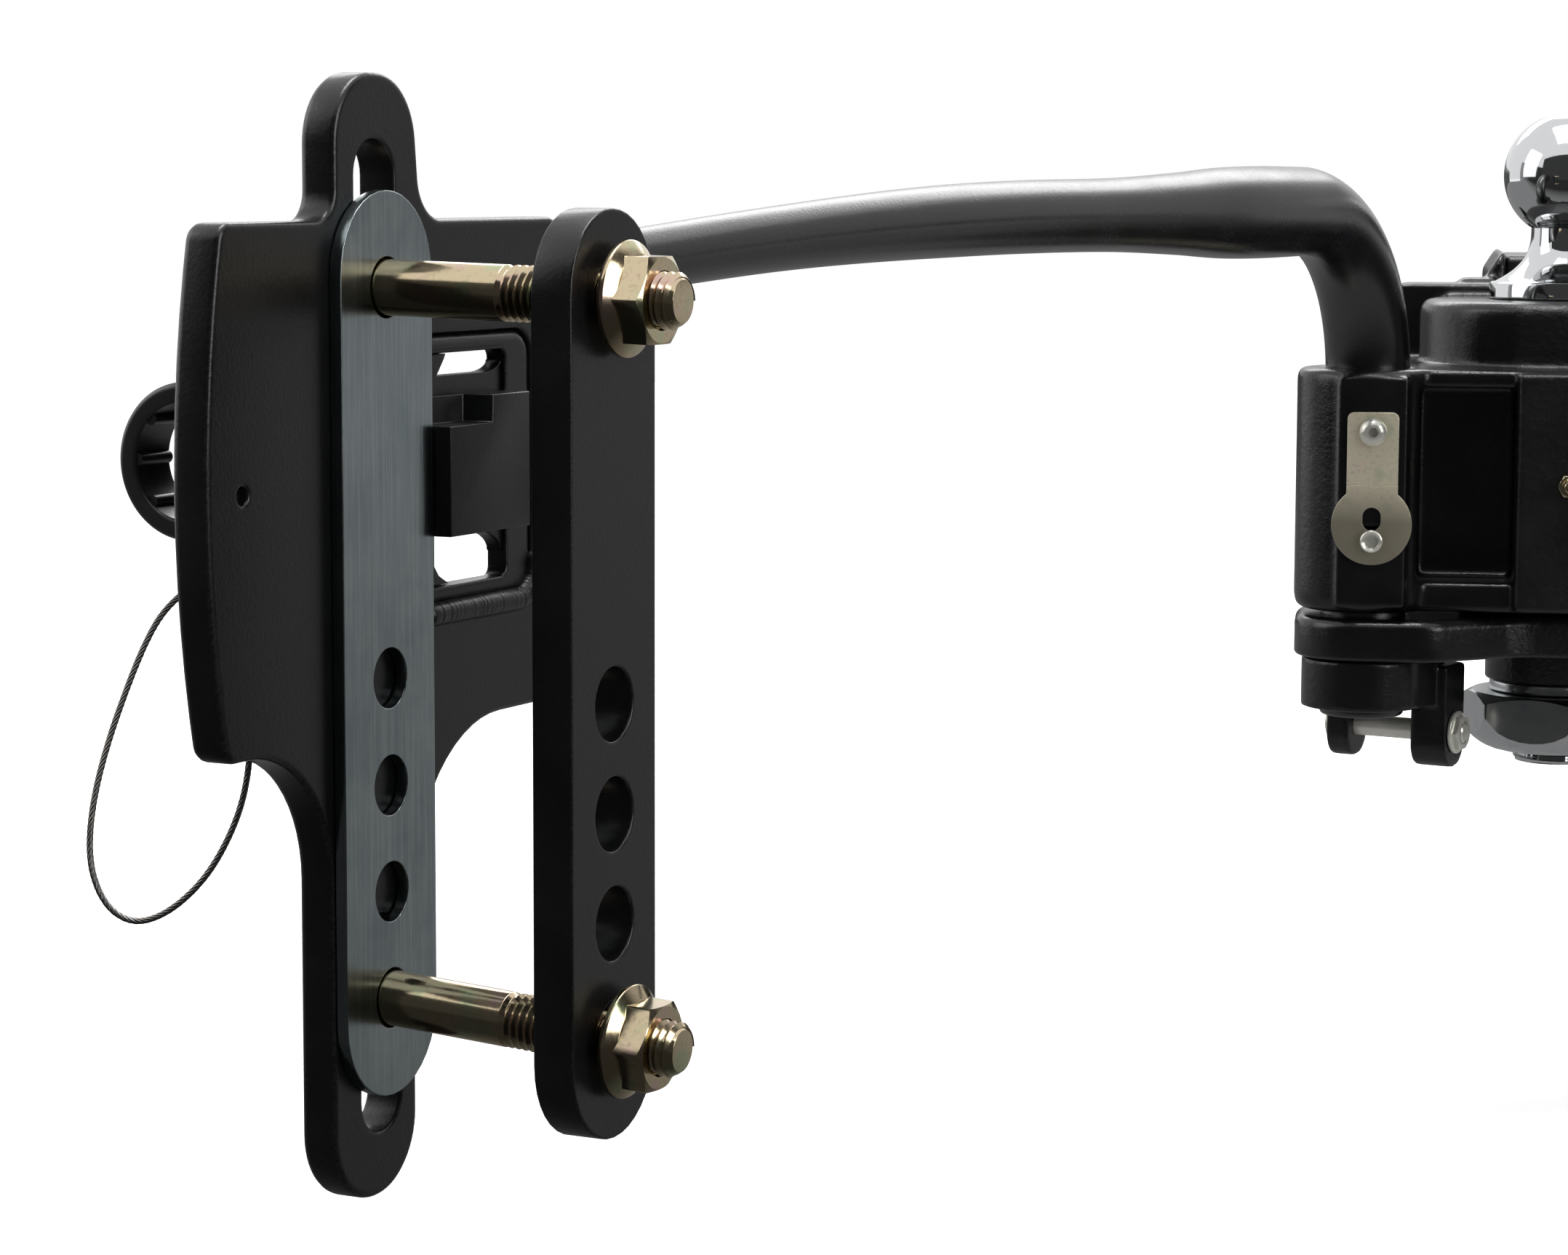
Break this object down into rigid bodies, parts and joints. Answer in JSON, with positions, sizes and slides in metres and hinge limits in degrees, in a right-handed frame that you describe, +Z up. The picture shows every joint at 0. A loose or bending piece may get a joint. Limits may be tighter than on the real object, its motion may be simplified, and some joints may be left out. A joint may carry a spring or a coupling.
{
  "type": "weight distribution hitch",
  "caption": "Weight distribution trailer hitch: ball head on a square shank, sprung bars turning in sockets, and slotted brackets that clamp a trailer frame.",
  "frame": {"origin": "centre of the shank's front end face", "axes": "+Y forward along the shank, out of its front face; +X to the right; +Z up"},
  "size_m": [0.9026, 1.2221, 0.3236],
  "materials": {
    "black_paint": "satin black powder coat",
    "bare_steel": "bare brushed steel",
    "yellow_zinc": "yellow zinc plate",
    "chrome": "polished chrome plate",
    "zinc_plate": "bright zinc plate",
    "latch_steel": "plated spring steel",
    "wire_rope": "twisted wire",
    "wear_pad": "moulded black nylon"
  },
  "bodies": {
    "head": {"head_body": "black_paint", "lower_plate": "black_paint", "tow_ball": "chrome", "ball_washer": "zinc_plate", "ball_nut": "zinc_plate", "grease_fitting": "yellow_zinc", "shank": "black_paint", "shank_bolt_upper": "zinc_plate", "shank_bolt_lower": "zinc_plate", "shank_nut_upper": "zinc_plate", "shank_nut_lower": "zinc_plate", "latch_leaf_left": "latch_steel", "latch_screw_left": "zinc_plate", "latch_leaf_right": "latch_steel", "latch_screw_right": "zinc_plate"},
    "spring_bar_left": {"spring_bar_left": "black_paint", "friction_clamp_left": "black_paint", "pinch_bolt_left": "yellow_zinc", "pinch_nut_left": "yellow_zinc"},
    "bracket_left": {"bracket_plate_left": "black_paint", "window_collar_left": "black_paint", "spacer_strip_left": "bare_steel", "clamp_bar_left": "black_paint", "clamp_bolt_upper_left": "yellow_zinc", "clamp_bolt_lower_left": "yellow_zinc", "flange_nut_upper_left": "yellow_zinc", "flange_nut_lower_left": "yellow_zinc", "bar_hanger_left": "black_paint", "wear_pad_left": "wear_pad", "lanyard_left": "wire_rope", "lanyard_screw_left": "zinc_plate"},
    "lock_pin_left": {"lock_pin_left": "zinc_plate", "pull_ring_left": "wear_pad", "lanyard_ferrule_left": "zinc_plate"},
    "latch_left": {"latch_disc_left": "latch_steel", "latch_pin_left": "zinc_plate"},
    "spring_bar_right": {"spring_bar_right": "black_paint", "friction_clamp_right": "black_paint", "pinch_bolt_right": "yellow_zinc", "pinch_nut_right": "yellow_zinc"},
    "bracket_right": {"bracket_plate_right": "black_paint", "window_collar_right": "black_paint", "spacer_strip_right": "bare_steel", "clamp_bar_right": "black_paint", "clamp_bolt_upper_right": "yellow_zinc", "clamp_bolt_lower_right": "yellow_zinc", "flange_nut_upper_right": "yellow_zinc", "flange_nut_lower_right": "yellow_zinc", "bar_hanger_right": "black_paint", "wear_pad_right": "wear_pad", "lanyard_right": "wire_rope", "lanyard_screw_right": "zinc_plate"},
    "lock_pin_right": {"lock_pin_right": "zinc_plate", "pull_ring_right": "wear_pad", "lanyard_ferrule_right": "zinc_plate"},
    "latch_right": {"latch_disc_right": "latch_steel", "latch_pin_right": "zinc_plate"}
  },
  "joints": [
    {"name": "bar_swing_left", "type": "hinge", "parent": "head", "child": "spring_bar_left", "pos_m": [-0.091, -0.4, 0.007], "axis": [0, 0, -1], "range_deg": [-12, 60]},
    {"name": "bracket_slide_left", "type": "slide", "parent": "spring_bar_left", "child": "bracket_left", "axis": [0.3994, 0.9141, 0.0698], "range_m": [-0.02, 0.04]},
    {"name": "lock_pin_pull_left", "type": "slide", "parent": "bracket_left", "child": "lock_pin_left", "axis": [-0.9489, 0.3156, 0], "range_m": [0, 0.025]},
    {"name": "latch_flex_left", "type": "hinge", "parent": "head", "child": "latch_left", "pos_m": [-0.0881, -0.4348, 0.0107], "axis": [-1, 0, 0], "range_deg": [0, 12], "stiffness_Nm_per_rad": 1.5},
    {"name": "bar_swing_right", "type": "hinge", "parent": "head", "child": "spring_bar_right", "pos_m": [0.091, -0.4, 0.007], "axis": [0, 0, 1], "range_deg": [-12, 60]},
    {"name": "bracket_slide_right", "type": "slide", "parent": "spring_bar_right", "child": "bracket_right", "axis": [-0.3994, 0.9141, 0.0698], "range_m": [-0.02, 0.04]},
    {"name": "lock_pin_pull_right", "type": "slide", "parent": "bracket_right", "child": "lock_pin_right", "axis": [0.9489, 0.3156, 0], "range_m": [0, 0.025]},
    {"name": "latch_flex_right", "type": "hinge", "parent": "head", "child": "latch_right", "pos_m": [0.0881, -0.4348, 0.0107], "axis": [-1, 0, 0], "range_deg": [0, 12], "stiffness_Nm_per_rad": 1.5}
  ]
}
